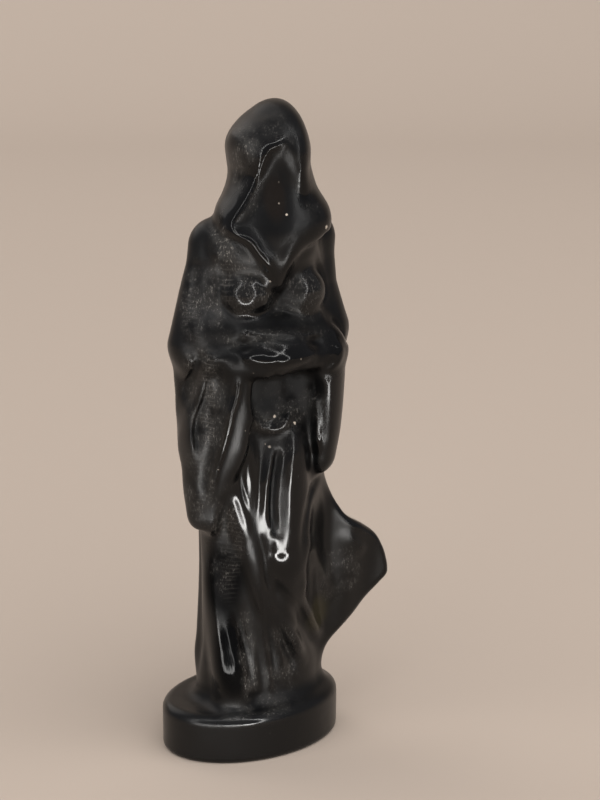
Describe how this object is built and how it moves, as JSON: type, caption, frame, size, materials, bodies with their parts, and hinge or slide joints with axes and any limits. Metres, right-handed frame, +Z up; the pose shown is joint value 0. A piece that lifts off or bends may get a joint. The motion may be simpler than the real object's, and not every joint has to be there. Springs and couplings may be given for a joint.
{
  "type": "veiled witch figurine",
  "caption": "Hooded, veiled standing figurine with folded arms, hanging sleeves and a blown train, carved with its oval plinth from polished black stone; stands on its flat underside.",
  "frame": {"origin": "middle of the plinth's flat underside", "axes": "+Z up the standing figure; the figure faces -Y; +X to the figure's own left, where the train blows out"},
  "size_m": [0.0413, 0.0271, 0.1098],
  "materials": {
    "veiled_figure": "polished black volcanic glass, dull grey where the cutter's marks were left"
  },
  "bodies": {
    "root": {"veiled_figure": "veiled_figure"}
  },
  "joints": []
}
